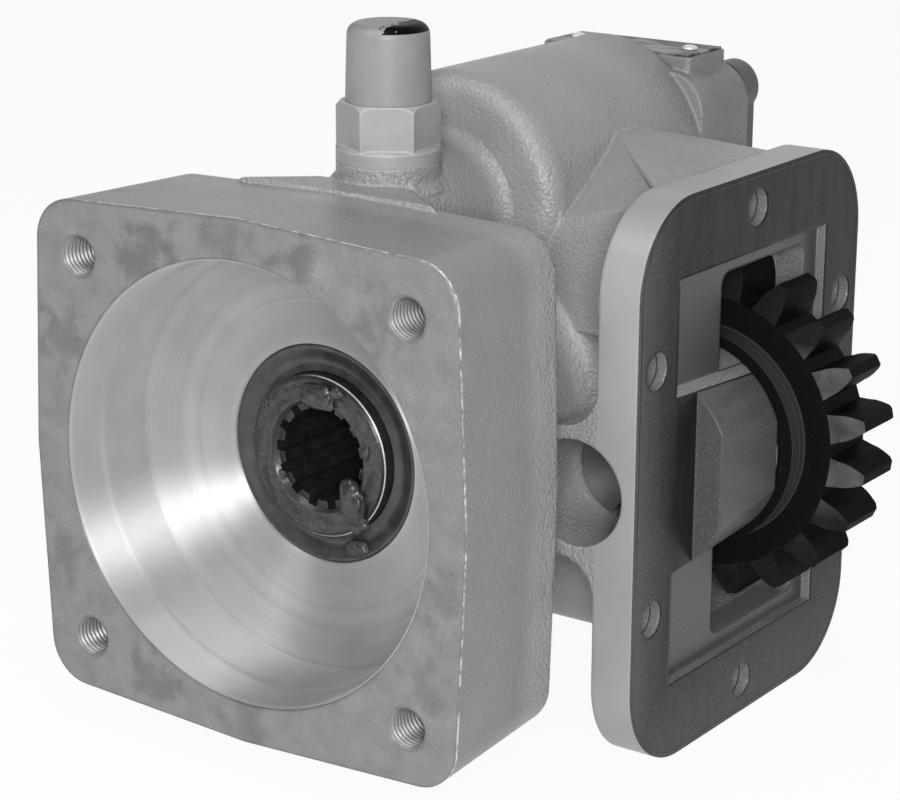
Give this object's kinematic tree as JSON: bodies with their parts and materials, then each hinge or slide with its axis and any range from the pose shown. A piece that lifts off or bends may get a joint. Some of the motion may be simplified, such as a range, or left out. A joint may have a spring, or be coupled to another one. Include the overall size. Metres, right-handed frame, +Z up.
{
  "type": "power take off unit",
  "caption": "Geared power take off unit with a side flange window showing its idler gear, a square pump flange with a splined socket, and an air shift cylinder with a switch.",
  "frame": {"origin": "where the output shaft axis meets the front face of the pump flange", "axes": "+Y into the unit along the output shaft, +X towards the side flange, +Z up towards the switch"},
  "size_m": [0.1966, 0.2278, 0.2088],
  "materials": {
    "housing_paint": "satin grey paint over cast iron, machined faces bare",
    "turned_carrier": "fine turned",
    "seal_rubber": "smooth, oiled",
    "spring_steel": "bright",
    "bearing_steel": "ground",
    "cage_brass": "turned",
    "shaft_steel": "greased",
    "gear_steel": "dark, oiled",
    "fork_iron": "as cast",
    "gasket_board": "matt fibre board",
    "cap_plastic": "grey paint, chipped to black on top",
    "plate_aluminium": "dull, smudged",
    "rivet_steel": "bright"
  },
  "bodies": {
    "case": {"housing": "housing_paint", "seal_carrier": "turned_carrier", "shaft_seal": "seal_rubber", "seal_spring": "spring_steel", "housing_clip": "spring_steel", "output_outer_rings": "bearing_steel", "output_ring_spacer": "bearing_steel", "pinion_outer_rings": "bearing_steel", "idler_pin": "bearing_steel", "front_thrust_washer": "bearing_steel", "rear_thrust_washer": "bearing_steel", "shift_cover": "housing_paint", "shift_gasket": "gasket_board", "cover_bolts": "housing_paint", "switch_body": "housing_paint", "switch_cap": "cap_plastic", "switch_spring": "spring_steel", "return_spring": "spring_steel", "nameplate": "plate_aluminium", "nameplate_rivets": "rivet_steel"},
    "output": {"output_shaft": "shaft_steel", "output_inner_rings": "bearing_steel", "shaft_clip": "spring_steel"},
    "output_cage": {"output_cages": "cage_brass", "output_rollers": "bearing_steel"},
    "idler": {"idler_gear": "gear_steel"},
    "idler_needles": {"idler_cage": "cage_brass", "idler_rollers": "bearing_steel"},
    "pinion": {"pinion_shaft": "gear_steel", "pinion_inner_rings": "bearing_steel"},
    "pinion_cage": {"pinion_cages": "cage_brass", "pinion_rollers": "bearing_steel"},
    "sleeve": {"shift_sleeve": "gear_steel"},
    "shifter": {"shift_rod": "bearing_steel", "shift_fork": "fork_iron", "rod_clips": "spring_steel", "shift_piston": "turned_carrier", "piston_seal": "seal_rubber"},
    "plunger": {"switch_plunger": "bearing_steel"}
  },
  "joints": [
    {"name": "output_spin", "type": "hinge", "parent": "case", "child": "output", "pos_m": [0, 0.0345, 0], "axis": [0, 1, 0], "continuous": true},
    {"name": "output_cage_spin", "type": "hinge", "parent": "case", "child": "output_cage", "pos_m": [0, 0.0585, 0], "axis": [0, 1, 0], "continuous": true},
    {"name": "idler_spin", "type": "hinge", "parent": "case", "child": "idler", "pos_m": [0.06869, 0.144, -0.005], "axis": [0, 1, 0], "continuous": true},
    {"name": "idler_needle_spin", "type": "hinge", "parent": "case", "child": "idler_needles", "pos_m": [0.06869, 0.144, -0.005], "axis": [0, 1, 0], "continuous": true},
    {"name": "pinion_spin", "type": "hinge", "parent": "case", "child": "pinion", "pos_m": [0, 0.144, 0], "axis": [0, 1, 0], "continuous": true},
    {"name": "pinion_cage_spin", "type": "hinge", "parent": "case", "child": "pinion_cage", "pos_m": [0, 0.144, 0], "axis": [0, 1, 0], "continuous": true},
    {"name": "shift_slide", "type": "slide", "parent": "case", "child": "shifter", "axis": [0, -1, 0], "range_m": [0, 0.009], "stiffness_N_per_m": 8000, "springref_m": -0.0075, "deforming": ["return_spring"]},
    {"name": "sleeve_slide", "type": "slide", "parent": "pinion", "child": "sleeve", "axis": [0, -1, 0], "range_m": [0, 0.009]},
    {"name": "plunger_slide", "type": "slide", "parent": "case", "child": "plunger", "axis": [0, 0, 1], "range_m": [0, 0.002], "deforming": ["switch_spring"]}
  ],
  "couplings": [
    {"joint": "output_spin", "follows": "idler_spin", "ratio": -2.2222},
    {"joint": "output_cage_spin", "follows": "idler_spin", "ratio": -0.9365},
    {"joint": "idler_needle_spin", "follows": "idler_spin", "ratio": 0.5798},
    {"joint": "pinion_spin", "follows": "idler_spin", "ratio": -2.2222},
    {"joint": "pinion_cage_spin", "follows": "idler_spin", "ratio": -0.8937},
    {"joint": "sleeve_slide", "follows": "shift_slide", "ratio": 1},
    {"joint": "plunger_slide", "follows": "shift_slide", "ratio": 0.2222}
  ]
}
